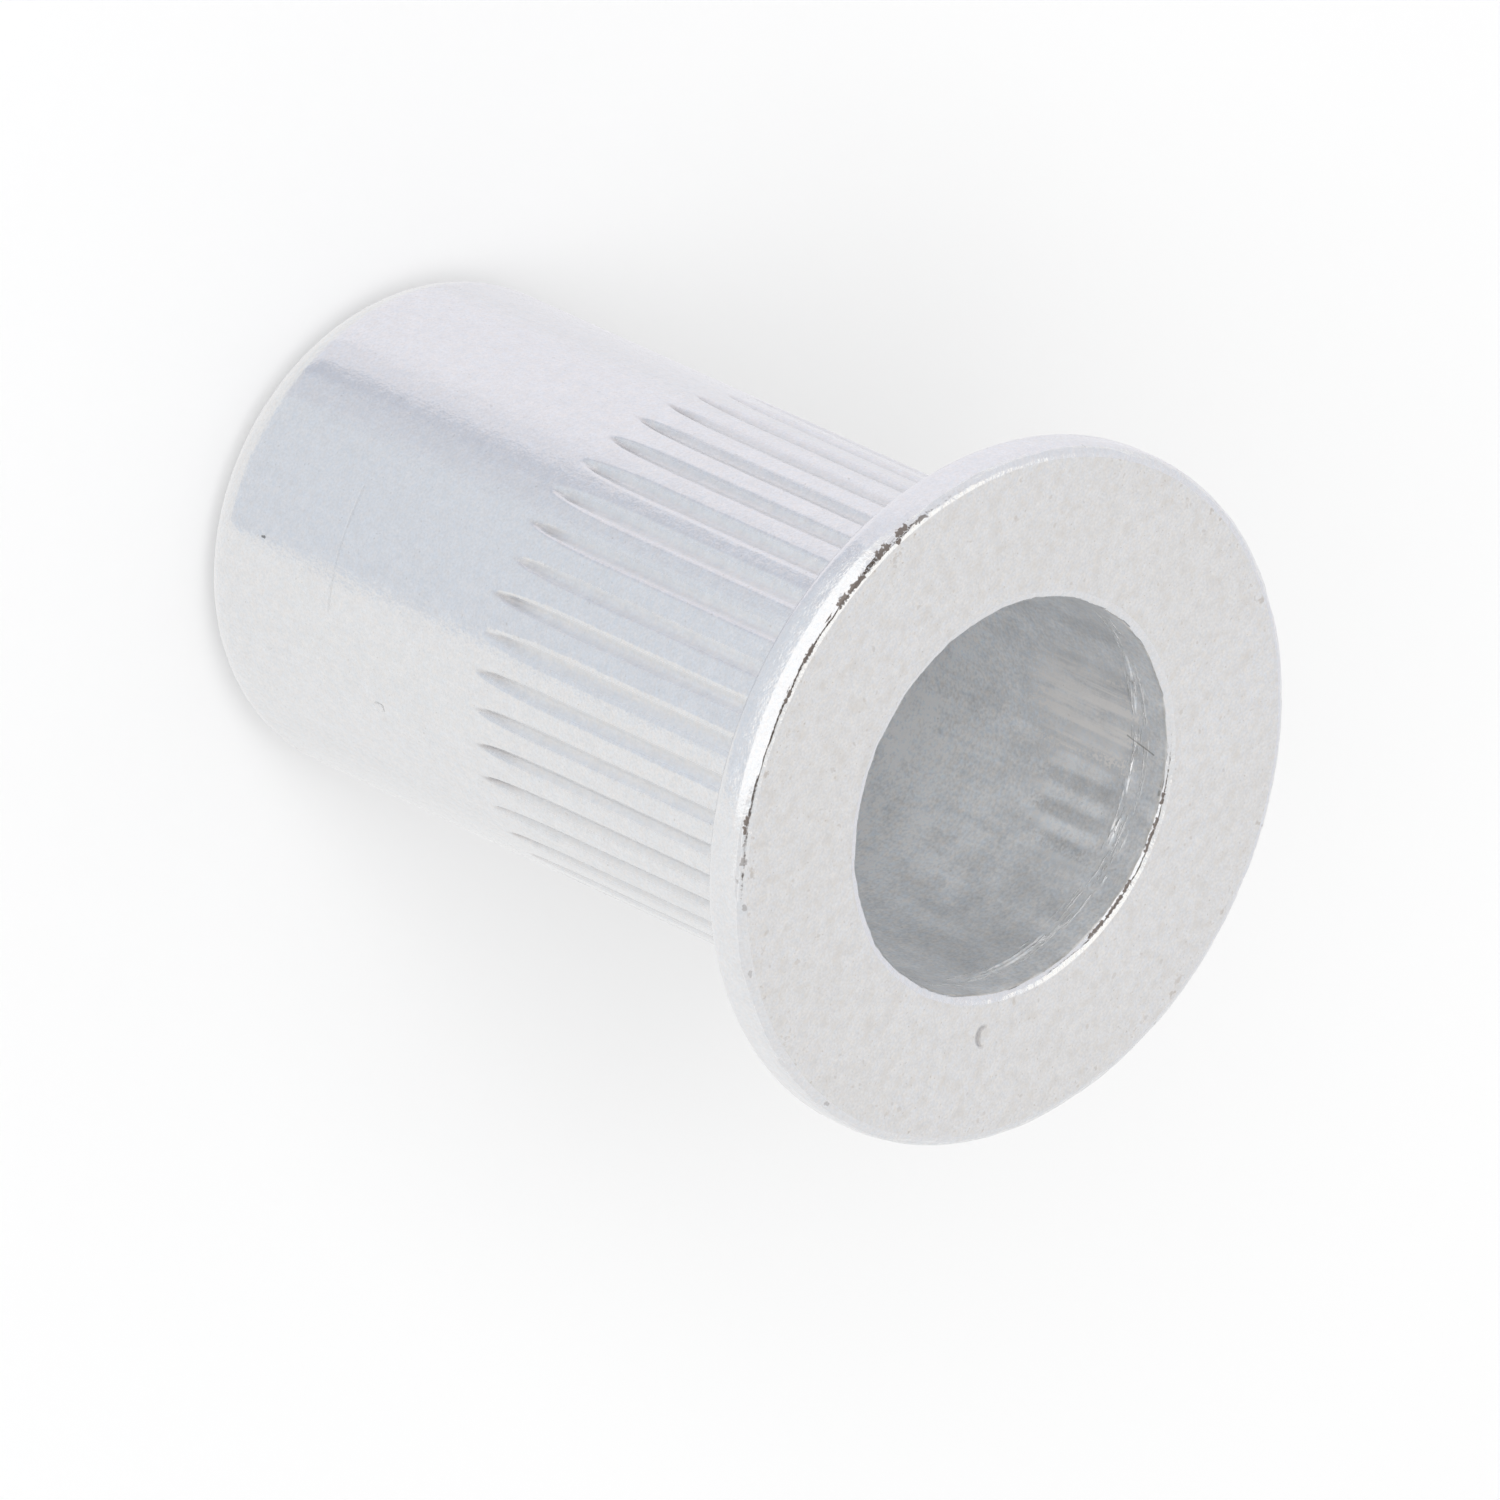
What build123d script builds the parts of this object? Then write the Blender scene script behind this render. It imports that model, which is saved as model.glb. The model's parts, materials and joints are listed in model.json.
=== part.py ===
from build123d import *
from math import hypot, radians, sqrt, tan
import os

# An open-end rivet nut with a thin flat head and a straight-fluted shank, cold formed in one
# piece. It stands on its tail: the origin is the centre of the tail's end face, and +Z runs up
# the axis to the head. Lengths are in millimetres and angles in degrees.

# ---- driving dimensions ----
LENGTH = 16.8                   # tail's end face to the head's flat face

HEAD_DIAMETER = 12.8
HEAD_THICKNESS = 1.0
HEAD_FACE_ROUND = 0.2           # outer edge on the flat face's side
HEAD_SEAT_ROUND = 0.4           # outer edge on the side that meets the sheet
SEAT_FILLET = 0.15              # inner corner between the head's seat and the shank

SHANK_DIAMETER = 9.0
WALL = 0.875                    # thin wall that folds when the nut is set
MOUTH_CHAMFER = 0.12            # edge of the wide bore at the head's face

TAPPING_DIAMETER = 5.0          # hole for an M6 x 1 thread, at the thread's crests
TAPPED_LENGTH = 7.2             # tail's end face to the foot of the cone
CONE_ANGLE = 120.0              # included angle of the cone between the two bores
THREAD_CHAMFER = 0.5            # 45 degree lead-in at the tail
TAIL_LAND = 0.25                # flat ring that the nut stands on, inside the tail's round

FLUTE_COUNT = 40
FLUTE_WIDTH = 0.40              # across one flute at the shank's surface
FLUTE_DEPTH = 0.12
FLUTE_GAP = 0.3                 # plain shank between the head's seat and the flutes
FLUTE_LENGTH = 7.8              # from there to the tip of a flute
FLUTE_RAMP = 1.5                # part of that length over which a flute rises to its tip

# ---- places and sizes that follow ----
HEAD_RADIUS = HEAD_DIAMETER / 2
SHANK_RADIUS = SHANK_DIAMETER / 2
WIDE_RADIUS = SHANK_RADIUS - WALL
MOUTH_RADIUS = WIDE_RADIUS + MOUTH_CHAMFER
TAPPING_RADIUS = TAPPING_DIAMETER / 2
LEAD_IN_RADIUS = TAPPING_RADIUS + THREAD_CHAMFER
TAIL_ROUND = SHANK_RADIUS - LEAD_IN_RADIUS - TAIL_LAND

SEAT_HEIGHT = LENGTH - HEAD_THICKNESS
CONE_TOP = TAPPED_LENGTH + (WIDE_RADIUS - TAPPING_RADIUS) / tan(radians(CONE_ANGLE / 2))
FLUTE_TOP = SEAT_HEIGHT - FLUTE_GAP
RAMP_TOP = FLUTE_TOP - FLUTE_LENGTH + FLUTE_RAMP


def half_section():
    """The body cut through its axis, before the flutes: its corners and how far each is rounded."""
    corners = [
        ((SHANK_RADIUS, 0), TAIL_ROUND),
        ((SHANK_RADIUS, SEAT_HEIGHT), SEAT_FILLET),
        ((HEAD_RADIUS, SEAT_HEIGHT), HEAD_SEAT_ROUND),
        ((HEAD_RADIUS, LENGTH), HEAD_FACE_ROUND),
        ((MOUTH_RADIUS, LENGTH), 0),
        ((WIDE_RADIUS, LENGTH - MOUTH_CHAMFER), 0),
        ((WIDE_RADIUS, CONE_TOP), 0),
        ((TAPPING_RADIUS, TAPPED_LENGTH), 0),
        ((TAPPING_RADIUS, THREAD_CHAMFER), 0),
        ((LEAD_IN_RADIUS, 0), 0),
    ]
    places = [place for place, rounding in corners]
    roundings = [rounding for place, rounding in corners]
    with BuildSketch(Plane.XZ) as section:
        with BuildLine():
            FilletPolyline(*places, radius=roundings, close=True)
        make_face()
    return section.sketch


def tooth_section(height):
    """The V that presses one flute: its edge lies along the flute's bottom, its back clear of
    the shank."""
    bottom = SHANK_RADIUS - FLUTE_DEPTH
    back = SHANK_RADIUS + FLUTE_DEPTH
    half_width = FLUTE_WIDTH / 2
    rim = sqrt(SHANK_RADIUS**2 - half_width**2)
    back_half_width = half_width * (back - bottom) / (rim - bottom)
    with BuildSketch(Plane.XY.offset(height)) as section:
        with BuildLine():
            Polyline((bottom, 0), (back, back_half_width), (back, -back_half_width), close=True)
        make_face()
    return section.sketch


def flute_tooth():
    """A tooth lying along the shank, whose lower end ramps out of the surface to leave a tip."""
    clear_past_tip = 1.3
    out = FLUTE_DEPTH * clear_past_tip
    down = FLUTE_RAMP * clear_past_tip
    with BuildPart() as tooth:
        extrude(tooth_section(RAMP_TOP), amount=FLUTE_TOP - RAMP_TOP)
        extrude(tooth_section(RAMP_TOP), amount=hypot(out, down), dir=(out, 0, -down))
    return tooth.part


def rivet_nut():
    """The section turned about the axis, with the flutes pressed in round the shank."""
    with BuildPart() as nut:
        add(half_section())
        revolve(axis=Axis.Z)
        with PolarLocations(0, FLUTE_COUNT):
            add(flute_tooth(), mode=Mode.SUBTRACT)
    return nut.part


os.makedirs("parts", exist_ok=True)
export_step(rivet_nut(), "parts/rivet_nut.step")
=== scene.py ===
# %% [markdown]
# # A fluted rivet nut in satin aluminium
# A rivet nut puts a strong thread into thin sheet. Its head lies on the sheet, its thin wall folds
# behind the sheet when the nut is set, and its fluted shank keeps it from turning. This lesson
# dresses the CAD model of one. The CAD model comes in first as a fixed frame, and the main sizes
# are read from it, so that nothing here can drift away from the part.

# %% Load the frame
import bmesh
import bpy
import json
from math import cos, pi, radians, sin, tan
from mathutils import Matrix, Vector


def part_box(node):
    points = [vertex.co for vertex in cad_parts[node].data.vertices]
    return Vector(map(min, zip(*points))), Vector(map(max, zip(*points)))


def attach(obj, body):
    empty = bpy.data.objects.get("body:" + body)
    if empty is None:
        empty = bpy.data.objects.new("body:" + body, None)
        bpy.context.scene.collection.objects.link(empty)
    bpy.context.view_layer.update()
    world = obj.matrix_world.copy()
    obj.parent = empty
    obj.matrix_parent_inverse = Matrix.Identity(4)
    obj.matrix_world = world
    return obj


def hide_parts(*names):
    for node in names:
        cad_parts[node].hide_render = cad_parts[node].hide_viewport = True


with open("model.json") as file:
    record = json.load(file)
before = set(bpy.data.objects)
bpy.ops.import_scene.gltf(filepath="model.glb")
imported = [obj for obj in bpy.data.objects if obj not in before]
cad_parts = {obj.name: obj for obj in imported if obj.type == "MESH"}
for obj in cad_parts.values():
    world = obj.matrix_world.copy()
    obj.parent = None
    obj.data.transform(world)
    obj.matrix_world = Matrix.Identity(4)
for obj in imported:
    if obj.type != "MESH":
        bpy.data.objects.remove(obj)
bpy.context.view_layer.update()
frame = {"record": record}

# %% [markdown]
# ## Sizes
# The sizes could be typed in again, but then the CAD model and this scene would drift apart at the
# first change. So they come from the CAD solid's box and from the record, which lists each hole
# and seat where another part meets the nut. Blender works in metres, and MM keeps sizes readable.

# %% Sizes, read from the frame
MM = 0.001
mounts = {mount["name"]: mount for mount in frame["record"]["mounts"]}
low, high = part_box("rivet_nut")

LENGTH = high.z
HEAD_RADIUS = high.x
SEAT_HEIGHT = mounts["seat"]["pos_m"][2]
SHANK_RADIUS = mounts["shank"]["dims"]["r_mm"] * MM
BORE_RADIUS = mounts["wide_bore"]["dims"]["r_mm"] * MM
CREST_RADIUS = mounts["thread"]["dims"]["r_mm"] * MM
THREAD_MIDDLE = mounts["thread"]["pos_m"][2]
THREAD_LENGTH = mounts["thread"]["dims"]["length_mm"] * MM
THREAD_FOOT = THREAD_MIDDLE - THREAD_LENGTH / 2
THREAD_TOP = THREAD_MIDDLE + THREAD_LENGTH / 2
print(f"length {LENGTH / MM:.2f}, head {HEAD_RADIUS / MM:.2f}, shank {SHANK_RADIUS / MM:.2f},",
      f"bore {BORE_RADIUS / MM:.3f}, thread {CREST_RADIUS / MM:.2f}",
      f"from {THREAD_FOOT / MM:.2f} to {THREAD_TOP / MM:.2f} mm")

# %% [markdown]
# ## The camera
# The nut stands on its tail and the camera looks down on it from the front, rolled over so that
# the axis runs across the picture. A direction is easiest to state on the nut itself: so far from
# the axis, towards one side, then a roll. The three camera axes follow from those angles.

# %% The camera
FROM_AXIS = radians(46.96)      # between the nut's axis and the way to the camera
TOWARDS = radians(-87.7)        # side of the nut that faces the camera, from +X
ROLL = radians(24.65)
DISTANCE = 600 * MM
ACROSS, ABOVE = -4.582 * MM, 0.832 * MM   # where the camera aims, from the middle of the head
LENS = 830.9

up = Vector((0, 0, 1))
facing = Vector((cos(TOWARDS), sin(TOWARDS), 0))
to_camera = cos(FROM_AXIS) * up + sin(FROM_AXIS) * facing
tilted = sin(FROM_AXIS) * up - cos(FROM_AXIS) * facing
side = to_camera.cross(tilted)
camera_x = cos(ROLL) * tilted + sin(ROLL) * side
camera_y = cos(ROLL) * side - sin(ROLL) * tilted
camera_place = LENGTH * up + ACROSS * camera_x + ABOVE * camera_y + DISTANCE * to_camera

camera_data = bpy.data.cameras.new("camera")
camera_data.lens = LENS
camera_data.sensor_width = 36
camera_data.clip_start = 0.01
camera_data.clip_end = 10
camera = bpy.data.objects.new("camera", camera_data)
axes = Matrix((camera_x, camera_y, to_camera)).transposed()
camera.matrix_world = Matrix.Translation(camera_place) @ axes.to_4x4()
bpy.context.scene.collection.objects.link(camera)
bpy.context.scene.camera = camera
bpy.context.scene.view_settings.view_transform = "Standard"
print("camera at", [round(v, 4) for v in camera_place])

# %% [markdown]
# ## Small helpers for node trees
# Geometry trees and shader trees are wired in the same way, so a few short helpers serve both. One
# adds a node and fills its inputs, each with a plain value or with another node's output. The
# others add the nodes used most, so that a rule reads almost like a formula.

# %% Helpers for node trees
def feed(tree, socket, value):
    """Fills an input with a value, or links another node's output to it."""
    if isinstance(value, bpy.types.NodeSocket):
        tree.links.new(value, socket)
    else:
        socket.default_value = value


def add(tree, kind, feeds=None, **settings):
    """Adds a node; feeds maps an input's name or number to a value or an output."""
    made = tree.nodes.new(kind)
    for name, value in settings.items():
        setattr(made, name, value)
    for socket, value in (feeds or {}).items():
        feed(tree, made.inputs[socket], value)
    return made


def calc(tree, operation, *values):
    """Adds a Math node and returns its output."""
    return add(tree, "ShaderNodeMath", dict(enumerate(values)), operation=operation).outputs[0]


def vector_calc(tree, operation, *values):
    """Adds a Vector Math node and returns its vector output."""
    node = add(tree, "ShaderNodeVectorMath", dict(enumerate(values)), operation=operation)
    return node.outputs[0]


def product(tree, *values):
    """All the values multiplied together."""
    result = values[0]
    for value in values[1:]:
        result = calc(tree, "MULTIPLY", result, value)
    return result


def fade(tree, value, start, end, low=0.0, high=1.0, kind="LINEAR"):
    """Maps start..end to low..high, and holds the end values outside it."""
    feeds = {0: value, 1: start, 2: end, 3: low, 4: high}
    return add(tree, "ShaderNodeMapRange", feeds, clamp=True, interpolation_type=kind).outputs[0]


def stops_curve(tree, value, stops):
    """A Float Curve node that runs through the given stops in straight lines."""
    node = add(tree, "ShaderNodeFloatCurve", {"Value": value})
    curve = node.mapping.curves[0]
    curve.points[0].location, curve.points[1].location = stops[0], stops[-1]
    for stop in stops[1:-1]:
        curve.points.new(*stop)
    for point in curve.points:
        point.handle_type = "VECTOR"
    node.mapping.update()
    return node.outputs[0]


# %% [markdown]
# ## The section
# A rivet nut is cold formed, and everything about it but the flutes and the thread is round. So
# the body starts as half of its section, drawn once as a closed outline. It could be typed in as a
# list of points, but corners with roundings are what a maker draws, and the points then follow.

# %% Round the corners of an outline
def rounded(corners):
    """Points round a closed outline of (radius, height, rounding, steps in it, stops after it)."""
    arcs = []
    for i, (r, z, rounding, steps, _) in enumerate(corners):
        corner = Vector((r, z))
        back = (Vector(corners[i - 1][:2]) - corner).normalized()
        ahead = (Vector(corners[(i + 1) % len(corners)][:2]) - corner).normalized()
        half_turn = back.angle(ahead) / 2
        centre = corner + (back + ahead).normalized() * rounding / sin(half_turn)
        first = (corner + back * rounding / tan(half_turn) - centre).normalized()
        last = (corner + ahead * rounding / tan(half_turn) - centre).normalized()
        arcs.append([centre + first.slerp(last, k / steps) * rounding for k in range(steps + 1)])
    outline = []
    for i, arc in enumerate(arcs):
        start, end = arc[-1], arcs[(i + 1) % len(arcs)][0]
        outline += arc + [start.lerp(end, share) for share in corners[i][4]]
    return outline


def evenly(count):
    """Shares that divide a straight run evenly."""
    return [(k + 1) / (count + 1) for k in range(count)]


# %% [markdown]
# ## Draw the section
# The corners are listed from the hole in the tail, up the outside and back down the bore. Handling
# has worn the nut's edges, so beside both its edges the face slopes away by a hair. The stops
# between two corners lie close where a flute's tip will need them, and far apart elsewhere.

# %% Draw the section of the body
FLUTES = 40
HEAD_SEAT_ROUND = 0.4 * MM
HEAD_FACE_ROUND = 0.16 * MM
WORN_WIDTH = 0.16 * MM          # beside both its edges the face slopes away a little
WORN_DROP = 0.03 * MM
HEAD_CROWN = 0.045 * MM         # the rim leans in this much towards the face
CROWN_START = SEAT_HEIGHT + 0.74 * MM
SEAT_FILLET = 0.15 * MM
MOUTH_ROUND = 0.10 * MM
EASE = 0.05 * MM                # a corner that is only broken, not rounded
THROAT_DEPTH = 0.88 * MM        # where the punch left two fine ridges in the mouth
RIDGE = 0.035 * MM

PITCH = 1 * MM
ROOT_RADIUS = CREST_RADIUS + 0.5 * PITCH
CONE_SLOPE = tan(radians(60))
CONE_TOP = THREAD_TOP + (BORE_RADIUS - CREST_RADIUS) / CONE_SLOPE
CONE_FOOT = THREAD_TOP + (ROOT_RADIUS - CREST_RADIUS) / CONE_SLOPE
LEAD_IN_RADIUS = CREST_RADIUS + THREAD_FOOT
TAIL_ROUND = 1.25 * MM

FLUTE_TOP = SEAT_HEIGHT - 0.3 * MM
FLUTE_TIP = FLUTE_TOP - 7.8 * MM
RAMP_TOP = FLUTE_TIP + 1.9 * MM   # below this a flute narrows
TIP_RAMP = 0.45 * MM            # and in this last bit it rises to the surface
TOP_RAMP = 0.15 * MM

run_start, run_end = TAIL_ROUND, SEAT_HEIGHT - SEAT_FILLET
below_tips = FLUTE_TIP - 0.1 * MM
heights = [run_start + (below_tips - run_start) * k / 5 for k in range(1, 6)]
heights += [FLUTE_TIP + (RAMP_TOP - FLUTE_TIP) * (k / 20) ** 1.6 for k in range(21)]
heights += [RAMP_TOP + (FLUTE_TOP - TOP_RAMP - RAMP_TOP) * k / 6 for k in range(1, 7)]
heights += [FLUTE_TOP - TOP_RAMP * k / 3 for k in (2, 1, 0)]
along_shank = [(height - run_start) / (run_end - run_start) for height in heights]

throat = [(BORE_RADIUS - RIDGE * (k % 2), LENGTH - THROAT_DEPTH + (3 - k) * RIDGE, EASE / 5, 1, [])
          for k in range(5)]

section = rounded([
    (LEAD_IN_RADIUS, 0, EASE, 3, evenly(1)),
    (SHANK_RADIUS, 0, TAIL_ROUND, 16, along_shank),
    (SHANK_RADIUS, SEAT_HEIGHT, SEAT_FILLET, 5, evenly(1)),
    (HEAD_RADIUS, SEAT_HEIGHT, HEAD_SEAT_ROUND, 10, evenly(1)),
    (HEAD_RADIUS, CROWN_START, 5 * HEAD_CROWN, 4, evenly(2)),
    (HEAD_RADIUS - HEAD_CROWN, LENGTH - WORN_DROP, HEAD_FACE_ROUND, 13, []),
    (HEAD_RADIUS - HEAD_CROWN - WORN_WIDTH, LENGTH, WORN_WIDTH / 4, 2, evenly(4)),
    (BORE_RADIUS + WORN_WIDTH, LENGTH, WORN_WIDTH / 4, 2, []),
    (BORE_RADIUS, LENGTH - WORN_DROP, MOUTH_ROUND, 9, evenly(3)),
    *throat,
    (BORE_RADIUS, CONE_TOP, EASE, 3, evenly(1)),
    (ROOT_RADIUS, CONE_FOOT, EASE, 3, evenly(6)),
])
print(len(section), "points round the section")

# %% [markdown]
# ## The body
# A lathe turns a section into a solid, and two curve nodes do the same here: the section is swept
# round a circle. The flutes could be cut with forty small wedges, but pressed flutes follow a rule,
# so the sweep's points are simply put where the rule says: so far round, so far up, and pushed in
# where a flute lies. The points crowd towards the flutes' edges, which keeps these edges crisp.

# %% Helpers for geometry trees
def new_geometry_tree(name, wanted):
    """A Geometry Nodes tree with these named inputs; gives the tree, its inputs and its output."""
    tree = bpy.data.node_groups.new(name, "GeometryNodeTree")
    new_socket = tree.interface.new_socket
    new_socket("Geometry", in_out="INPUT", socket_type="NodeSocketGeometry")
    for label, kind in wanted.items():
        new_socket(label, in_out="INPUT", socket_type="NodeSocket" + kind)
    new_socket("Geometry", in_out="OUTPUT", socket_type="NodeSocketGeometry")
    given = tree.nodes.new("NodeGroupInput").outputs
    return tree, given, tree.nodes.new("NodeGroupOutput").inputs[0]


def keep(tree, geometry, value, kind="FLOAT"):
    """Notes a value on each point, so that it is still known after the sweep."""
    node = add(tree, "GeometryNodeCaptureAttribute", domain="POINT")
    node.capture_items.new(kind, "Value")
    feed(tree, node.inputs[0], geometry)
    feed(tree, node.inputs[1], value)
    return node.outputs[0], node.outputs[1]


def random_value(tree, low, high, which, seed):
    """A Random Value node that gives each whole number in which its own value."""
    node = add(tree, "FunctionNodeRandomValue", data_type="FLOAT")
    low_in, high_in, which_in, seed_in = [s for s in node.inputs if s.enabled]
    for socket, value in ((low_in, low), (high_in, high), (which_in, which), (seed_in, seed)):
        feed(tree, socket, value)
    return next(s for s in node.outputs if s.enabled)


def round_the_axis(tree, radius, angle, height):
    """A point at this radius, angle and height."""
    return add(tree, "ShaderNodeCombineXYZ", {
        0: product(tree, radius, calc(tree, "COSINE", angle)),
        1: product(tree, radius, calc(tree, "SINE", angle)),
        2: height}).outputs[0]


def finish_tree(tree, geometry):
    """Smooth shading and real geometry; only the materials are still to be set."""
    geometry = add(tree, "GeometryNodeSetShadeSmooth", {"Geometry": geometry}).outputs[0]
    geometry = add(tree, "GeometryNodeRealizeInstances", {"Geometry": geometry}).outputs[0]
    return geometry


def grown(name, outline, tree, values):
    """Gives a closed outline to a tree, and returns the plain mesh object that comes out."""
    count = len(outline)
    seed = bpy.data.meshes.new(name + "_seed")
    edges = [(k, (k + 1) % count) for k in range(count)]
    seed.from_pydata([(r, z, 0) for r, z in outline], edges, [])
    holder = bpy.data.objects.new(name + "_seed", seed)
    bpy.context.scene.collection.objects.link(holder)
    modifier = holder.modifiers.new("grow", "NODES")
    modifier.node_group = tree
    for item in tree.interface.items_tree:
        if item.in_out == "INPUT" and item.name in values:
            modifier[item.identifier] = values[item.name]
    graph = bpy.context.evaluated_depsgraph_get()
    mesh = bpy.data.meshes.new_from_object(holder.evaluated_get(graph))
    mesh.name = name
    bpy.data.objects.remove(holder)
    bpy.data.meshes.remove(seed)
    piece = bpy.data.objects.new(name, mesh)
    bpy.context.scene.collection.objects.link(piece)
    solid = bmesh.new()
    solid.from_mesh(mesh)
    print(f"{name}: {sum(len(f.vertices) - 2 for f in mesh.polygons)} triangles,",
          f"{solid.calc_volume(signed=True) / MM ** 3:.1f} mm3,",
          f"{sum(not e.is_manifold for e in solid.edges)} open edges")
    solid.free()
    return piece


# %% [markdown]
# ## The body: sweep the section
# After a sweep a point only knows where it is. So two facts are captured before it: the radius and
# height of each point of the section, and the number of each point of the circle. All the rules
# that follow are made of these, and of the named inputs that hold the sizes.

# %% The body's tree: the sweep, and what each point knows
body_tree, given, body_out = new_geometry_tree("fluted body", {
    "Columns per flute": "Int", "Shank radius": "Float", "Flutes": "Int", "Flute width": "Float",
    "Flute depth": "Float", "Flute tip": "Float", "Ramp top": "Float", "Flute top": "Float",
    "Tip ramp": "Float", "Top ramp": "Float", "Unevenness": "Float", "Rim corner": "Vector",
    "Mouth corner": "Vector", "Burr": "Float", "Bore radius": "Float", "Bore ripple": "Float",
    "Seed": "Int",
    "Shank finish": "Material", "Rim finish": "Material", "Face finish": "Material",
    "Bore finish": "Material"})
t = body_tree

position = add(t, "GeometryNodeInputPosition").outputs[0]
noted, section_point = keep(t, given["Geometry"], position, "VECTOR")
profile = add(t, "GeometryNodeMeshToCurve", {0: noted}).outputs[0]
columns = product(t, given["Flutes"], given["Columns per flute"])
circle = add(t, "GeometryNodeCurvePrimitiveCircle",
             {"Resolution": columns, "Radius": given["Shank radius"]}).outputs[0]
circle, column = keep(t, circle, add(t, "GeometryNodeInputIndex").outputs[0])
swept = add(t, "GeometryNodeCurveToMesh", {"Curve": circle, "Profile Curve": profile}).outputs[0]
swept = add(t, "GeometryNodeFlipFaces", {"Mesh": swept}).outputs[0]
section_parts = add(t, "ShaderNodeSeparateXYZ", {0: section_point}).outputs
radius, height = section_parts[0], section_parts[1]

# %% [markdown]
# ## The body: which flute is this?
# The flutes could be forty copies of one cut, but then they would all be alike. Here each point
# works out its nearest flute, and the flute's number draws a length and a depth of its own. On the
# real nut the metal flows a little differently at each tooth of the tool, with the same result.

# %% The body's tree: which flute a point is in, and how far off its middle
in_flutes = calc(t, "DIVIDE", column, given["Columns per flute"])
nearest = calc(t, "ROUND", in_flutes)
off_middle = calc(t, "SUBTRACT", in_flutes, nearest)
share = calc(t, "ABSOLUTE", off_middle)
which = calc(t, "MODULO", nearest, given["Flutes"])

# no two flutes are quite alike in length and in depth
SHALLOWEST, DEEPEST = 0.82, 1.12
tip_off = random_value(t, -1.0, 1.0, which, given["Seed"])
tip = calc(t, "MULTIPLY_ADD", tip_off, given["Unevenness"], given["Flute tip"])
deeper = random_value(t, SHALLOWEST, DEEPEST, which, calc(t, "ADD", given["Seed"], 1.0))

# towards its tip a flute first narrows, and only then rises to the surface
deep_share = fade(t, height, tip, calc(t, "ADD", tip, given["Tip ramp"]))
short_of = calc(t, "SUBTRACT", 1.0, fade(t, height, tip, given["Ramp top"]))
NARROWING = 0.65
wide_share = calc(t, "SUBTRACT", 1.0, product(t, short_of, short_of, NARROWING))
top_share = fade(t, height, calc(t, "SUBTRACT", given["Flute top"], given["Top ramp"]),
                 given["Flute top"], 1.0, 0.0, "SMOOTHSTEP")

# %% [markdown]
# ## The body: points where they count
# An even spread of points would need three times as many for the same crisp groove. So half of the
# columns move into the flute and the others share the smooth land beside it, a few of them close
# to the flute's edge.

# %% The body's tree: the columns of points crowd into the flutes
pitch = calc(t, "DIVIDE", product(t, given["Shank radius"], 2 * pi), given["Flutes"])
half = calc(t, "DIVIDE", calc(t, "DIVIDE", given["Flute width"], 2.0), pitch)
edge = product(t, half, wide_share)
inside = fade(t, share, 0.0, 0.25)
outside = stops_curve(t, fade(t, share, 0.25, 0.5), [(0, 0), (0.5, 0.35), (1, 1)])
moved = calc(t, "ADD", product(t, inside, edge),
             product(t, outside, calc(t, "SUBTRACT", 0.5, edge)))
signed = product(t, moved, calc(t, "SIGN", off_middle))
turns = calc(t, "DIVIDE", calc(t, "ADD", nearest, signed), given["Flutes"])
angle = product(t, turns, 2 * pi)

# %% [markdown]
# ## The body: press the flutes in
# A tool presses the flutes in, it doesn't cut them. So their walls are soft, they start in a
# pointed ramp, and the thin wall behind them ripples. A smooth wave across each flute has such
# walls, where a wedge would have knife-sharp ones. Each point's share in a groove, and in the dirt
# and painted dark reflection of its tip, is stored too, for the shank's finish to use.

# %% The body's tree: press the flutes in
# across, a flute is a soft wave, steepest half way down its walls
on_shank = calc(t, "COMPARE", radius, given["Shank radius"], 0.01 * MM)
wave = product(t, fade(t, inside, 0.0, 1.0, 1.0, 0.0, "SMOOTHSTEP"), on_shank)
groove = product(t, wave, product(t, deep_share, top_share))
pressed = calc(t, "SUBTRACT", radius, product(t, groove, deeper, given["Flute depth"]))

# the last bit of each flute gets dirt and a painted dark reflection
above_tip = calc(t, "SUBTRACT", height, tip)
in_tip = product(t, fade(t, above_tip, -0.05 * MM, 0.15 * MM),
              fade(t, above_tip, 0.2 * MM, 1.1 * MM, 1.0, 0.0))
darker_tip = random_value(t, 0.25, 1.0, which, calc(t, "ADD", given["Seed"], 2.0))
tip_dirt_and_dark_reflection = product(t, wave, wave, in_tip, darker_tip)

# pressing a flute pushes the thin wall in a little, which leaves faint ripples in the bore
in_bore = calc(t, "COMPARE", radius, given["Bore radius"], 0.05 * MM)
below_mouth = fade(t, height, LENGTH - 1.1 * MM, LENGTH - 1.6 * MM)
ripple = product(t, calc(t, "COSINE", product(t, in_flutes, 2 * pi)), deeper,
                 product(t, in_bore, below_mouth), given["Bore ripple"])
pressed = calc(t, "SUBTRACT", pressed, ripple)

# %% [markdown]
# ## The body: burrs and worn corners
# Nuts are tumbled and shipped loose, so no corner of a real one is even. Bump in a material would
# only shade it, and the corner's outline would stay perfect. Noise that moves the points close to
# the two corners of the face changes the outline too, by a few hundredths of a millimetre.

# %% The body's tree: small unevenness where tools and other nuts have touched the corners
def near(corner, reach):
    """1 on the section's corner, falling to 0 at this distance."""
    gap = add(t, "ShaderNodeVectorMath", {0: section_point, 1: corner}, operation="DISTANCE")
    return fade(t, gap.outputs["Value"], 0.0, reach, 1.0, 0.0, "SMOOTHSTEP")


circle_place = round_the_axis(t, 1.0, angle, product(t, height, 1 / MM))


def wobble(waves, detail):
    """Noise from -1 to 1 that changes round the nut, with about this many waves in one radian."""
    noise = add(t, "ShaderNodeTexNoise", {"Vector": circle_place, "Scale": waves, "Detail": detail})
    return fade(t, noise.outputs[0], 0.25, 0.75, -1.0, 1.0)


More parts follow.
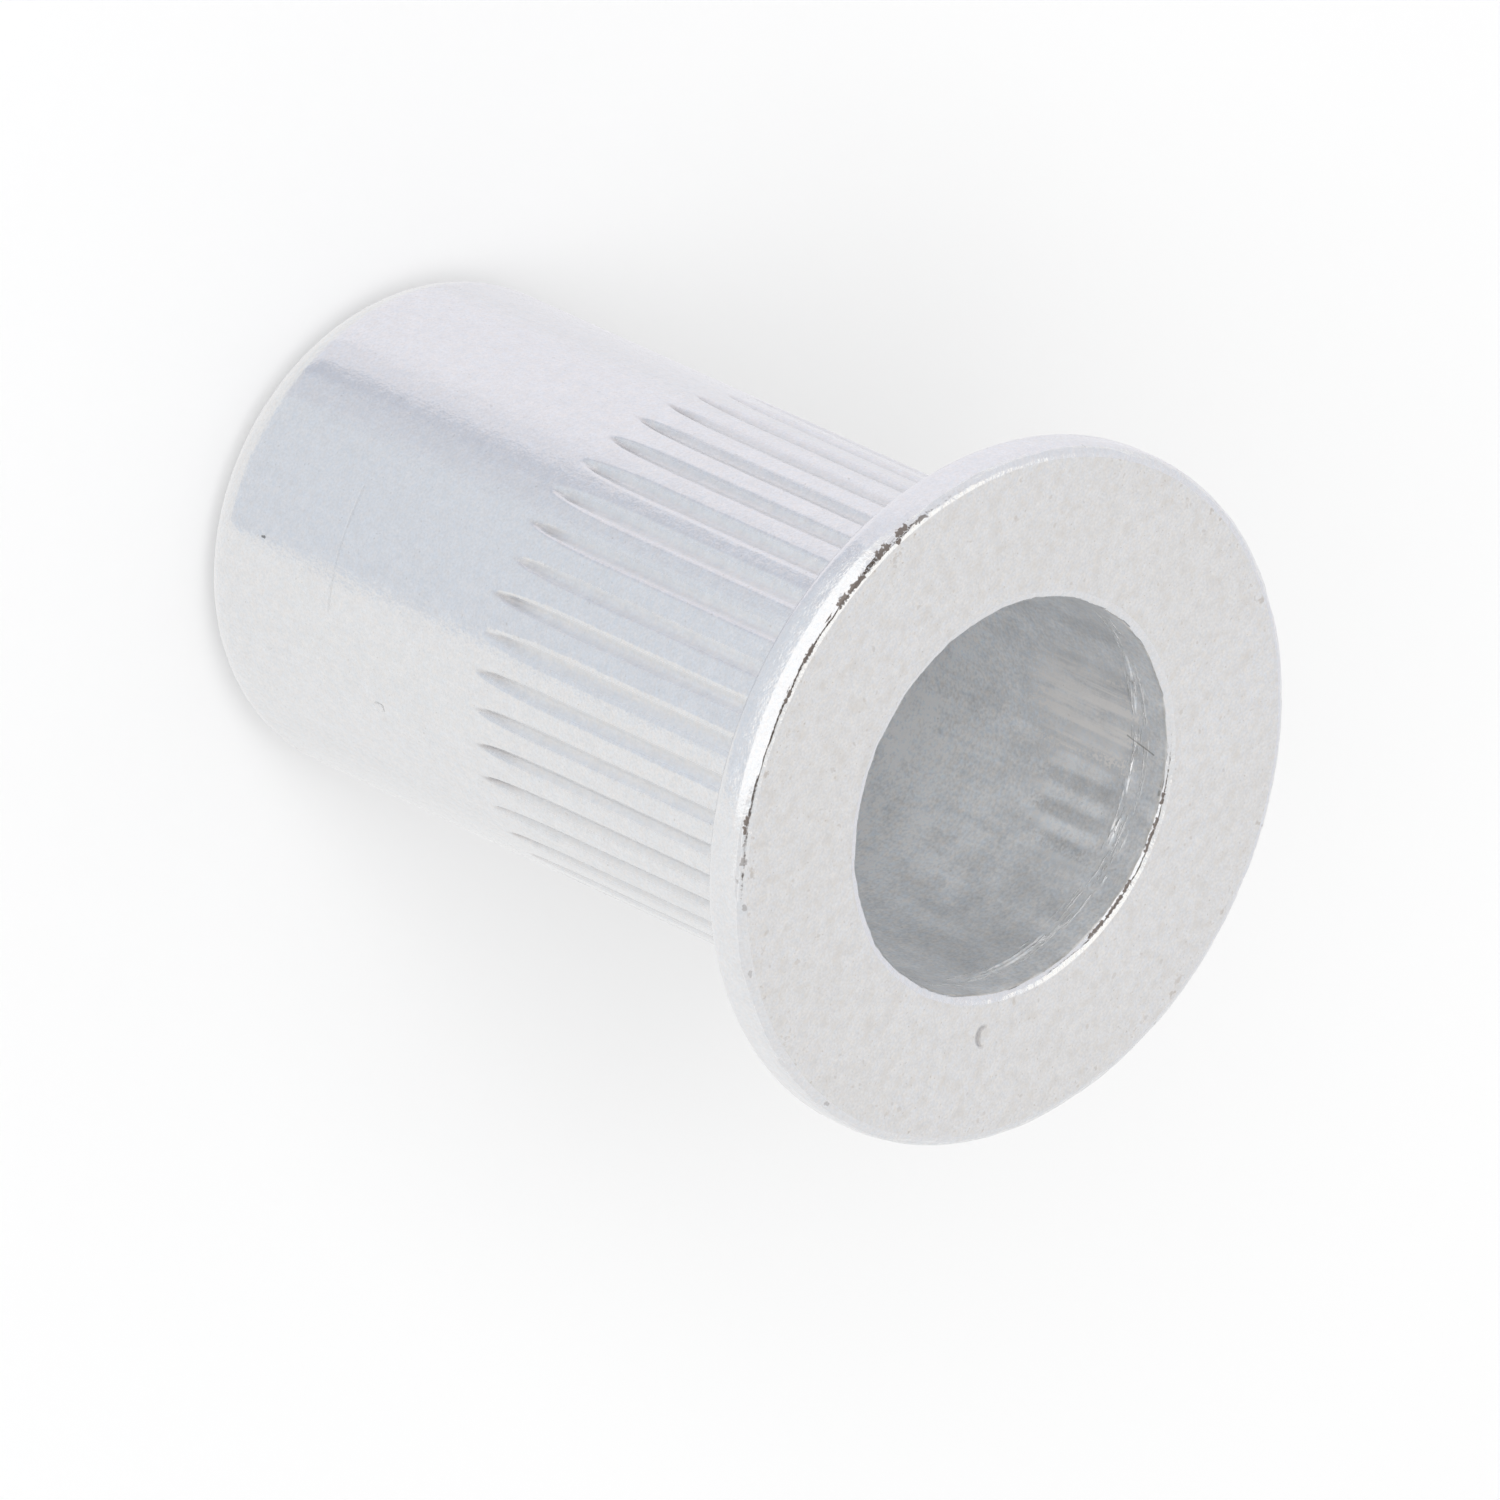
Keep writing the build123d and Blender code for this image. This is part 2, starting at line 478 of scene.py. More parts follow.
rim_burr = product(t, near(given["Rim corner"], 0.22 * MM), wobble(9.0, 4.0))
mouth_burr = product(t, near(given["Mouth corner"], 0.25 * MM), wobble(5.0, 5.0))
burr = product(t, calc(t, "SUBTRACT", mouth_burr, rim_burr), given["Burr"])
pressed = calc(t, "ADD", pressed, burr)
lowered = calc(t, "SUBTRACT", height, calc(t, "ABSOLUTE", product(t, burr, 0.5)))

# the two fine ridges in the throat wander a little, and are left in a few places only
RIDGES_LEFT = ((107, 13), (144, 12), (46, 12))   # each one's middle and half width, in degrees
in_throat = product(t, calc(t, "COMPARE", height, LENGTH - 0.8 * MM, 0.15 * MM), in_bore)
left = 0.0
for middle, half_width in RIDGES_LEFT:
    away = calc(t, "ABSOLUTE", calc(t, "SUBTRACT", angle, radians(middle)))
    stretch = fade(t, away, radians(half_width), radians(half_width + 4), 1.0, 0.0)
    left = calc(t, "MAXIMUM", left, stretch)
broken = fade(t, wobble(6.0, 3.0), -0.2, 0.3, 1.0, 0.0)
gone = calc(t, "SUBTRACT", 1.0, product(t, left, broken))
short_of_wall = calc(t, "SUBTRACT", given["Bore radius"], radius)
flattened = product(t, short_of_wall, in_throat, gone)
pressed = calc(t, "ADD", pressed, flattened)
WANDER = 0.09 * MM
lowered = calc(t, "ADD", lowered, product(t, wobble(0.9, 1.0), WANDER, in_throat))

placed = round_the_axis(t, pressed, angle, lowered)
shaped = add(t, "GeometryNodeSetPosition", {"Geometry": swept, "Position": placed}).outputs[0]
for name, value in (("groove", groove), ("tip_dirt_and_dark_reflection", tip_dirt_and_dark_reflection)):
    shaped = add(t, "GeometryNodeStoreNamedAttribute",
                 {"Geometry": shaped, "Name": name, "Value": value},
                 data_type="FLOAT", domain="POINT").outputs[0]
shaped = finish_tree(t, shaped)

# %% [markdown]
# ## The body: a finish for each zone
# The zones differ by the tool that made them: drawn shank, rolled rim, pressed face, punched bore.
# They could be picked by hand in Edit Mode, but a rule on radius and height still holds when a size
# changes. Each Set Material node overrules the ones before it.

# %% The body's tree: a finish for each zone
def zone(r_from, r_to, z_from, z_to):
    """Picks the faces whose middle lies within these radii and heights."""
    tests = [calc(t, "GREATER_THAN", radius, r_from), calc(t, "LESS_THAN", radius, r_to),
             calc(t, "GREATER_THAN", height, z_from), calc(t, "LESS_THAN", height, z_to)]
    return product(t, *tests)


FAR = 1.0
HAIR = 0.003 * MM               # what is this close to the face's height belongs to the face
MOUTH_TOP = LENGTH - 0.07 * MM
finishes = [
    ("Shank finish", zone(-FAR, FAR, -FAR, FAR)),
    ("Rim finish", zone(SHANK_RADIUS + 2 * SEAT_FILLET, FAR, SEAT_HEIGHT + 0.01 * MM, FAR)),
    ("Bore finish", zone(-FAR, BORE_RADIUS + EASE, THREAD_TOP, MOUTH_TOP)),
    ("Rim finish", zone(BORE_RADIUS - EASE, BORE_RADIUS + WORN_WIDTH, MOUTH_TOP, LENGTH - HAIR)),
    ("Face finish", zone(BORE_RADIUS + 0.8 * WORN_WIDTH,
                         HEAD_RADIUS - HEAD_CROWN - 0.8 * WORN_WIDTH, LENGTH - HAIR, FAR)),
]
for label, where in finishes:
    shaped = add(t, "GeometryNodeSetMaterial",
                 {"Geometry": shaped, "Selection": where, "Material": given[label]}).outputs[0]
feed(t, body_out, shaped)
print(len(t.nodes), "nodes in the body's tree")

# %% [markdown]
# ## The thread
# The nut has a right-handed metric thread, 6 mm across with a pitch of 1 mm. Rings would look much
# the same from afar, but a bolt could not be turned into them. A thread is one ridge along a helix,
# so the ridge's section is swept along a helix, and cut back where the two countersinks start.

# %% The thread's tree
THREAD_SUNK = 0.03 * MM         # the ridge goes this far into the wall, so that no gap shows
THREAD_CLEAR = 0.02 * MM        # and stays this far off the plane that the nut stands on
thread_tree, given, thread_out = new_geometry_tree("helical thread", {
    "Points per turn": "Int", "Turns": "Float", "Pitch": "Float", "Start": "Float",
    "Root radius": "Float", "Crest radius": "Float", "Lead-in radius": "Float",
    "Countersink height": "Float", "Finish": "Material"})
t = thread_tree

position = add(t, "GeometryNodeInputPosition").outputs[0]
noted, section_point = keep(t, given["Geometry"], position, "VECTOR")
profile = add(t, "GeometryNodeMeshToCurve", {0: noted}).outputs[0]
count = product(t, given["Points per turn"], given["Turns"])
step = add(t, "ShaderNodeCombineXYZ", {2: given["Pitch"]}).outputs[0]
line = add(t, "GeometryNodeMeshLine", {"Count": count, "Offset": step}).outputs[0]
line, number = keep(t, line, add(t, "GeometryNodeInputIndex").outputs[0])
line = add(t, "GeometryNodeMeshToCurve", {0: line}).outputs[0]
ridge = add(t, "GeometryNodeCurveToMesh",
            {"Curve": line, "Profile Curve": profile, "Fill Caps": True}).outputs[0]
ridge = add(t, "GeometryNodeFlipFaces", {"Mesh": ridge}).outputs[0]
turned = calc(t, "DIVIDE", number, given["Points per turn"])
section_parts = add(t, "ShaderNodeSeparateXYZ", {0: section_point}).outputs
middle_height = calc(t, "MULTIPLY_ADD", turned, given["Pitch"], given["Start"])
height = calc(t, "ADD", middle_height, section_parts[1])
lead_in = calc(t, "SUBTRACT", given["Lead-in radius"], height)
countersink = calc(t, "MULTIPLY_ADD", calc(t, "SUBTRACT", height, given["Countersink height"]),
                   CONE_SLOPE, given["Crest radius"])
radius = calc(t, "MAXIMUM", section_parts[0], calc(t, "MAXIMUM", lead_in, countersink))
radius = calc(t, "MINIMUM", radius, calc(t, "ADD", given["Root radius"], THREAD_SUNK))
height = calc(t, "MAXIMUM", height, THREAD_CLEAR)
placed = round_the_axis(t, radius, product(t, turned, 2 * pi), height)
ridge = add(t, "GeometryNodeSetPosition", {"Geometry": ridge, "Position": placed}).outputs[0]
ridge = finish_tree(t, ridge)
feed(t, thread_out, add(t, "GeometryNodeSetMaterial",
                        {"Geometry": ridge, "Material": given["Finish"]}).outputs[0])
print(len(t.nodes), "nodes in the thread's tree")

# %% [markdown]
# ## Effects that the finishes share
# All of the nut is one metal, but each zone was touched by other tools. So the finishes share a few
# effects, each made once as a node group and placed with its own values: the metal's grain, the
# lines a tool leaves, dirt that gathers along an edge, and single marks from handling. Each reads
# Object coordinates, so its sizes are real sizes in metres.

# %% Helpers for shader groups
def new_shader_group(name, wanted, given_out):
    """A shader node group with named inputs (label: (kind, value)) and outputs (label: kind)."""
    group = bpy.data.node_groups.new(name, "ShaderNodeTree")
    for label, (kind, value) in wanted.items():
        socket = group.interface.new_socket(label, in_out="INPUT", socket_type="NodeSocket" + kind)
        socket.default_value = value
    for label, kind in given_out.items():
        group.interface.new_socket(label, in_out="OUTPUT", socket_type="NodeSocket" + kind)
    inputs = group.nodes.new("NodeGroupInput").outputs
    outputs = group.nodes.new("NodeGroupOutput").inputs
    place = add(group, "ShaderNodeTexCoord").outputs["Object"]
    return group, inputs, outputs, place


def use(tree, group, **feeds):
    """Places a group in a material; an underscore stands for a space in an input's name."""
    node = tree.nodes.new("ShaderNodeGroup")
    node.node_tree = group
    for name, value in feeds.items():
        feed(tree, node.inputs[name.replace("_", " ")], value)
    return node.outputs


def times(tree, vector, scale):
    """A vector multiplied by a number."""
    feeds = {"Vector": vector, "Scale": scale}
    return add(tree, "ShaderNodeVectorMath", feeds, operation="SCALE").outputs[0]


def noise(tree, vector, detail, roughness=0.5):
    """A Noise Texture of scale 1, with the size in the vector; gives 0 to 1, mostly near 0.5."""
    feeds = {"Vector": vector, "Scale": 1.0, "Detail": detail, "Roughness": roughness}
    return add(tree, "ShaderNodeTexNoise", feeds).outputs[0]


def dot(tree, one, other):
    """The dot product of two vectors."""
    node = add(tree, "ShaderNodeVectorMath", {0: one, 1: other}, operation="DOT_PRODUCT")
    return node.outputs["Value"]


def mixed(tree, share, one, other):
    """A colour from one to the other."""
    node = add(tree, "ShaderNodeMix", data_type="RGBA")
    share_in, one_in, other_in = [s for s in node.inputs if s.enabled]
    feed(tree, share_in, share)
    feed(tree, one_in, one)
    feed(tree, other_in, other)
    return next(s for s in node.outputs if s.enabled)


# %% [markdown]
# ## Effect: the metal's grain
# Satin aluminium is a field of tiny crystals and pits. One noise gives the grain, a larger one the
# clouds in its shine, a sparse one dark specks, and a last one a tint between cool and warm. The
# tint noise is read from a place further off, or its pattern would lie just on the grain's.

# %% The metal's grain
grain_group, inputs, outputs, place = new_shader_group("metal grain", {
    "Grain size": ("Float", 0.05 * MM), "Cloud size": ("Float", 0.5 * MM),
    "Speck size": ("Float", 0.1 * MM), "Specks": ("Float", 0.5)},
    {"Grain": "Float", "Cloud": "Float", "Speck": "Float", "Tint": "Float"})
g = grain_group
grain = noise(g, times(g, place, calc(g, "DIVIDE", 1.0, inputs["Grain size"])), 2.0)
cloud = noise(g, times(g, place, calc(g, "DIVIDE", 1.0, inputs["Cloud size"])), 4.0, 0.6)
speck = noise(g, times(g, place, calc(g, "DIVIDE", 1.0, inputs["Speck size"])), 1.0)
start = calc(g, "MULTIPLY_ADD", inputs["Specks"], -0.12, 0.76)
elsewhere = vector_calc(g, "ADD", place, (0.031, 0.017, 0.043))
tint = noise(g, times(g, elsewhere, calc(g, "DIVIDE", 0.5, inputs["Grain size"])), 3.0, 0.6)
feed(g, outputs["Grain"], fade(g, grain, 0.25, 0.75))
feed(g, outputs["Tint"], fade(g, tint, 0.3, 0.7))
feed(g, outputs["Cloud"], fade(g, cloud, 0.25, 0.75))
end = calc(g, "ADD", start, 0.05)
feed(g, outputs["Speck"], fade(g, speck, start, end, 0.0, 1.0, "SMOOTHSTEP"))

# %% [markdown]
# ## Effect: lines from a tool
# A drawn wall has lines along the axis, a turned one has lines round it. Both are noise that is
# squeezed in one direction and stretched in the other. A Wave Texture would do it too, but its
# lines are evenly spaced, and those of a worn tool aren't.

# %% Lines from a tool, along the axis or round it
# "Round" and "Along" say how many lines there are to a metre, going round and going along the axis
lines_group, inputs, outputs, place = new_shader_group("tool lines", {
    "Round": ("Float", 12000.0), "Along": ("Float", 600.0)}, {"Lines": "Float"})
g = lines_group
x, y, z = add(g, "ShaderNodeSeparateXYZ", {0: place}).outputs
stretched = add(g, "ShaderNodeCombineXYZ", {
    0: product(g, x, inputs["Round"]), 1: product(g, y, inputs["Round"]),
    2: product(g, z, inputs["Along"])}).outputs[0]
feed(g, outputs["Lines"], fade(g, noise(g, stretched, 3.0, 0.6), 0.25, 0.75))

# %% [markdown]
# ## Effect: dirt along an edge
# Oil and metal dust stay where an edge rubs. The distance to an edge is easy to reckon for a
# circle round the axis, and noise then breaks the band up into patches. Pointiness would find
# edges by itself, but it depends on how dense the mesh is.

# %% Dirt along a round edge
edge_group, inputs, outputs, place = new_shader_group("edge dirt", {
    "Edge radius": ("Float", HEAD_RADIUS), "Edge height": ("Float", LENGTH),
    "Reach": ("Float", 0.1 * MM), "Patch size": ("Float", 0.5 * MM), "Amount": ("Float", 0.5)},
    {"Dirt": "Float"})
g = edge_group
x, y, z = add(g, "ShaderNodeSeparateXYZ", {0: place}).outputs
off_axis = calc(g, "SQRT", calc(g, "ADD", product(g, x, x), product(g, y, y)))
out = calc(g, "SUBTRACT", off_axis, inputs["Edge radius"])
above = calc(g, "SUBTRACT", z, inputs["Edge height"])
gap = calc(g, "SQRT", calc(g, "ADD", product(g, out, out), product(g, above, above)))
patches = noise(g, times(g, place, calc(g, "DIVIDE", 1.0, inputs["Patch size"])), 6.0, 0.65)
wanted = calc(g, "SUBTRACT", 0.72, product(g, inputs["Amount"], 0.4))
patches = fade(g, patches, wanted, calc(g, "ADD", wanted, 0.08), 0.0, 1.0, "SMOOTHSTEP")
feed(g, outputs["Dirt"], product(g, patches, fade(g, gap, 0.0, inputs["Reach"], 1.0, 0.0)))

# %% [markdown]
# ## Effect: a single mark
# A part that has been handled has a few marks of its own: a spot, a nick, a dent, a scratch. Each
# is a short line with a place, a direction and a width, and a ragged border. Painting them on an
# image would be quicker, but a group keeps their size right on any shape.

# %% A single mark: a spot, a nick, a dent or a scratch
# the same mark also places blobs of painted dark reflection on the rim and patches of painted light
# in the bore
mark_group, inputs, outputs, place = new_shader_group("single mark", {
    "Centre": ("Vector", (0, 0, 0)), "Along": ("Vector", (0, 0, 1)),
    "Across": ("Vector", (1, 0, 0)), "Half length": ("Float", 0.0),
    "Half width": ("Float", 0.05 * MM), "Raggedness": ("Float", 0.3)}, {"Mark": "Float"})
g = mark_group
off = vector_calc(g, "SUBTRACT", place, inputs["Centre"])
inward = vector_calc(g, "CROSS_PRODUCT", inputs["Along"], inputs["Across"])
past = calc(g, "MAXIMUM", calc(g, "SUBTRACT", calc(g, "ABSOLUTE", dot(g, off, inputs["Along"])),
                               inputs["Half length"]), 0.0)
aside = dot(g, off, inputs["Across"])
deep = calc(g, "SUBTRACT", calc(g, "ABSOLUTE", dot(g, off, inward)), 0.3 * MM)
deep = calc(g, "MAXIMUM", deep, 0.0)
gap = calc(g, "ADD", product(g, past, past), product(g, aside, aside))
gap = calc(g, "SQRT", calc(g, "ADD", gap, product(g, deep, deep)))
gap = calc(g, "DIVIDE", gap, inputs["Half width"])
ragged = product(g, calc(g, "SUBTRACT", noise(g, times(g, place, 1 / (0.06 * MM)), 3.0), 0.5),
              product(g, inputs["Raggedness"], 4.0))
feed(g, outputs["Mark"], fade(g, calc(g, "ADD", gap, ragged), 0.7, 1.15, 1.0, 0.0, "SMOOTHSTEP"))
print("groups:", [group.name for group in (grain_group, lines_group, edge_group, mark_group)])

# %% [markdown]
# ## The finishes
# Bare aluminium is a plain metal shader: what makes it look worn and handled is how evenly it
# shines. Each zone gets its own base colour, its own roughness with clouds in it, and bumps of a
# few thousandths of a millimetre, which break up what the surface throws back.

# %% Helpers for finishes
def new_finish(name, metallic, roughness=0.5):
    """A material with its Principled shader; gives the tree and the shader's inputs."""
    finish = bpy.data.materials.new(name)
    finish.use_nodes = True
    shader = finish.node_tree.nodes["Principled BSDF"]
    shader.inputs["Metallic"].default_value = metallic
    shader.inputs["Roughness"].default_value = roughness
    return finish, finish.node_tree, shader.inputs


def total(tree, *parts):
    """The sum of (value, factor) pairs."""
    result = 0.0
    for value, factor in parts:
        result = calc(tree, "MULTIPLY_ADD", value, factor, result)
    return result


def toned(tree, colour, *parts):
    """A colour made lighter and darker by (value, factor) pairs, about its own mean."""
    middle = 1.0 - sum(factor for _, factor in parts) / 2
    return times(tree, colour, calc(tree, "ADD", total(tree, *parts), middle))


def over(tree, base, share, strength, colour):
    """Lays another colour over the base, where the share says so."""
    return mixed(tree, product(tree, share, strength), base, (*colour, 1))


def finished(tree, shader, base, roughness, heights):
    """Feeds the shader: roughness and heights are (value, factor) pairs, heights in mm."""
    bump = add(tree, "ShaderNodeBump", {"Height": total(tree, *heights), "Distance": MM,
                                        "Strength": 1.0}).outputs[0]
    feed(tree, shader["Base Color"], base)
    feed(tree, shader["Roughness"], total(tree, *roughness))
    feed(tree, shader["Normal"], bump)


def grained(tree, grain, cloud, speck, specks):
    """The metal's grain with its sizes in mm; gives Grain, Cloud, Speck and Tint."""
    return use(tree, grain_group, Grain_size=grain * MM, Cloud_size=cloud * MM,
               Speck_size=speck * MM, Specks=specks)


def edge_dirt(tree, radius, height, reach, patch, amount):
    """Dirt along a round edge, with reach and patch size in mm; gives its share."""
    return use(tree, edge_group, Edge_radius=radius, Edge_height=height, Reach=reach * MM,
               Patch_size=patch * MM, Amount=amount)["Dirt"]


def beside(angle, radius, height=0.0):
    """A point at this angle from the side that faces the camera, towards the camera's up."""
    turn = TOWARDS - angle
    return Vector((radius * cos(turn), radius * sin(turn), height))


def mark(tree, centre, along, across, half_length, half_width, raggedness):
    """One single mark, with its half length and half width in mm; gives its share."""
    return use(tree, mark_group, Centre=centre, Along=along, Across=across,
               Half_length=half_length * MM, Half_width=half_width * MM,
               Raggedness=raggedness)["Mark"]


def on_wall(side, radius, height):
    """A point on a round wall, at this side in degrees and this height in mm."""
    return beside(radians(side), radius, height * MM)


def round_from(side):
    """The direction round the axis, at this side in degrees."""
    return beside(radians(side + 90), 1)


# %% [markdown]
# ## Finish: the shank
# The plain part of the shank is as smooth as the tool that drew it, so it shows soft bands of the
# room. A low, slightly cloudy roughness does that. The flutes are pressed later and are duller,
# with painted shade in their grooves, and dirt and a painted dark reflection in their tips: both
# follow the shares that the geometry stored.

# %% The shank: satin, with pressed flutes, painted shade in their grooves, dirt and painted dark reflection in their tips
shank_finish, t, shader = new_finish("shank_aluminium", 1.0)
metal = grained(t, 0.05, 0.25, 0.07, 0.25)
drawn = use(t, lines_group, Round=14000.0, Along=500.0)["Lines"]
in_groove = add(t, "ShaderNodeAttribute", attribute_name="groove").outputs["Fac"]
groove_dullness_and_shade = fade(t, in_groove, 0.05, 0.8)
in_tip = add(t, "ShaderNodeAttribute", attribute_name="tip_dirt_and_dark_reflection").outputs["Fac"]

spot = mark(t, on_wall(-17, SHANK_RADIUS, 1.9), up, round_from(-17), 0.035, 0.025, 0.8)
hairline = mark(t, on_wall(-12, SHANK_RADIUS, 3.8), round_from(-12), up, 1.15, 0.028, 0.75)
dent = mark(t, on_wall(-45, SHANK_RADIUS, 5.1), up, round_from(-45), 0.05, 0.09, 0.2)

base = mixed(t, metal["Tint"], (0.763, 0.786, 0.814, 1), (0.807, 0.790, 0.780, 1))
base = toned(t, base, (metal["Cloud"], 0.07), (metal["Grain"], 0.10), (drawn, 0.03))
# painted shade: the grooves' base is darker, where shade falls in them
base = mixed(t, groove_dullness_and_shade, base, times(t, base, 0.92))
# dirt and painted dark reflection: the tips of the flutes are painted dark brown
base = over(t, base, in_tip, 0.6, (0.36, 0.325, 0.32))
base = over(t, base, metal["Speck"], 0.3, (0.45, 0.42, 0.38))
base = mixed(t, total(t, (spot, 0.7), (hairline, 0.07)), base, (0.07, 0.07, 0.07, 1))
finished(t, shader, base,
         [(metal["Cloud"], 0.06), (groove_dullness_and_shade, 0.28), (spot, 0.4), (1.0, 0.13)],
         [(metal["Grain"], 0.0018), (drawn, 0.0006), (metal["Cloud"], 0.006),
          (hairline, -0.003), (dent, -0.02), (spot, -0.01)])

# %% [markdown]
# ## Finish: the rim
# The head's rim and its two corners are rolled smooth, and then they take all the knocks. A broken
# line of brown dirt and painted dark reflection lies along the outer corner and along the mouth:
# the dark blobs also thicken the dark line that these corners reflect. An even band of edge dirt
# would look like a painted line, so most of it is single marks, each at its own side of the nut
# and its own height on the corner's rounding.

# %% The rim: rolled smooth, with dirt, painted dark reflection and burrs along its corner
rim_finish, t, shader = new_finish("rim_aluminium", 1.0)
metal = grained(t, 0.05, 0.25, 0.08, 0.3)
worn = grained(t, 0.4, 0.9, 0.1, 0.0)
corner_radius = HEAD_RADIUS - HEAD_CROWN
# dirt patches along the outer corner, which also add to the painted dark line along it
dirt_and_dark_marks = edge_dirt(t, corner_radius, LENGTH - WORN_DROP, 0.15, 0.3, 0.18)

# brown dirt and painted dark reflection: blobs on the outer corner, darkest where its dark line
# shows
# side and lift in degrees, half length and half width in mm, and how dark it is
CORNER_DIRT_AND_DARK_REFLECTION = (
    (-80, 70, 0.02, 0.04, 0.4), (-48, 60, 0.02, 0.04, 0.35), (-36, 75, 0.02, 0.045, 0.45),
    (-28, 60, 0.03, 0.05, 0.6), (-22, 50, 0.12, 0.04, 1), (-0.5, 62, 0.10, 0.03, 1),
    (7, 58, 0.15, 0.035, 1), (17, 55, 0.08, 0.06, 1), (20.5, 62, 0.16, 0.05, 1),
    (27.5, 48, 0.12, 0.06, 1), (30.5, 78, 0.01, 0.05, 1), (32, 40, 0.08, 0.06, 1),
    (36, 58, 0.10, 0.04, 0.8))
for side, lift, half_length, half_width, strength in CORNER_DIRT_AND_DARK_REFLECTION:
    outwards = beside(radians(side), 1)
    corner = beside(radians(side), corner_radius - HEAD_FACE_ROUND,
                    LENGTH - WORN_DROP - HEAD_FACE_ROUND)
    corner += HEAD_FACE_ROUND * (cos(radians(lift)) * outwards + sin(radians(lift)) * up)
    down_slope = sin(radians(lift)) * outwards - cos(radians(lift)) * up
    blob = mark(t, corner, round_from(side), down_slope, half_length, half_width, 0.9)
    dirt_and_dark_marks = calc(t, "MAXIMUM", dirt_and_dark_marks, product(t, blob, strength))

# brown dirt and painted dark reflection: short dark pieces of the line along the mouth
MOUTH_DIRT_AND_DARK_REFLECTION = ((163, 0.08), (173.5, 0.30), (189, 0.10), (195.5, 0.22), (204, 0.20))
for side, half_length in MOUTH_DIRT_AND_DARK_REFLECTION:
    corner = beside(radians(side), BORE_RADIUS + 0.045 * MM, LENGTH - WORN_DROP - 0.01 * MM)
    up_slope = (beside(radians(side), 1) + up).normalized()
    blob = mark(t, corner, round_from(side), up_slope, half_length, 0.028, 0.9)
    dirt_and_dark_marks = calc(t, "MAXIMUM", dirt_and_dark_marks, blob)

base = mixed(t, metal["Tint"], (0.780, 0.800, 0.826, 1), (0.818, 0.804, 0.800, 1))
base = toned(t, base, (metal["Cloud"], 0.06), (metal["Grain"], 0.08))
# the dirt and the painted dark reflection are laid on in dark brown
base = over(t, base, dirt_and_dark_marks, 0.8, (0.12, 0.08, 0.055))
finished(t, shader, base, [(metal["Cloud"], 0.06), (dirt_and_dark_marks, 0.3), (1.0, 0.13)],
         [(metal["Grain"], 0.0015), (metal["Cloud"], 0.006), (dirt_and_dark_marks, 0.004),
          (worn["Cloud"], 0.012)])

# %% [markdown]
# ## Finish: the face
# The head's face is pressed flat by a punch with a matte end, so it is the dullest surface and
# throws back an even grey. What keeps it alive is mottling: grain in cool and warm tones, faint
# stains some millimetres wide, and flecks that gather where the outer edge has rubbed.

# %% The face: matte, finely mottled where the punch pressed it flat
face_finish, t, shader = new_finish("face_aluminium", 1.0)
metal = grained(t, 0.05, 0.22, 0.06, 0.45)
stain = grained(t, 0.3, 2.5, 0.2, 0.5)
rubbed_dirt = edge_dirt(t, HEAD_RADIUS - 0.25 * MM, LENGTH, 0.45, 0.22, 0.33)

# the nick is a small crescent: what a round mark leaves when a second one covers most of it
opening = beside(radians(163), 1)
tall = beside(radians(56), 1)
nick_place = beside(radians(243), 4.6 * MM, LENGTH) + MM * (0.19 * tall - 0.17 * opening)
round_mark, cover = (
    mark(t, nick_place + shift * MM * opening, tall, round_from(56), 0.04, half_width, 0.1)
    for shift, half_width in ((0, 0.17), (0.075, 0.155)))
nick = calc(t, "MAXIMUM", calc(t, "SUBTRACT", round_mark, cover), 0.0)

base = mixed(t, metal["Tint"], (0.746, 0.766, 0.799, 1), (0.794, 0.770, 0.744, 1))
stained = mixed(t, 0.5, base, (0.770, 0.758, 0.740, 1))
base = mixed(t, stain["Cloud"], times(t, base, 1.012), stained)
base = toned(t, base, (metal["Cloud"], 0.11), (metal["Grain"], 0.15))
base = mixed(t, fade(t, stain["Grain"], 0.5, 1.0, 0.0, 0.45), base, (0.68, 0.645, 0.60, 1))
flecks = calc(t, "MAXIMUM", product(t, metal["Speck"], 0.4), product(t, rubbed_dirt, 0.5))
flecks = calc(t, "MAXIMUM", flecks, product(t, stain["Speck"], 0.25))
base = mixed(t, flecks, base, (0.45, 0.39, 0.33, 1))
base = over(t, base, nick, 0.42, (0.30, 0.27, 0.26))
finished(t, shader, base, [(metal["Cloud"], 0.08), (metal["Grain"], 0.06), (1.0, 0.38)],
         [(metal["Grain"], 0.003), (metal["Cloud"], 0.004), (nick, -0.03)])

# %% [markdown]
# ## Finish: the bore
# The wall inside was drawn thin and then left alone: it is dull, a little oxidised, and brown at
# the edge of its mouth. Its colour is painted darker just below the mouth and lighter deeper down,
# as painted light. A metal shader of full strength would mirror the whole bore, so the wall is only
# partly metallic. Behind the flutes it has short bars and warm streaks of painted reflection, the
# throat has fine strokes where the punch stopped, painted white as glints, and one slanted scratch
# crosses them.

# %% The bore: a drawn wall that stayed dull
bore_finish, t, shader = new_finish("bore_aluminium", 0.45)
metal = grained(t, 0.06, 0.6, 0.12, 0.15)
drawn = use(t, lines_group, Round=5000.0, Along=250.0)["Lines"]
strokes_and_glints = use(t, lines_group, Round=1400.0, Along=16000.0)["Lines"]
mouth_dirt = edge_dirt(t, BORE_RADIUS, LENGTH - MOUTH_ROUND, 0.10, 0.4, 0.2)
place = add(t, "ShaderNodeTexCoord").outputs["Object"]
x, y, z = add(t, "ShaderNodeSeparateXYZ", {0: place}).outputs
depth = calc(t, "SUBTRACT", LENGTH, z)

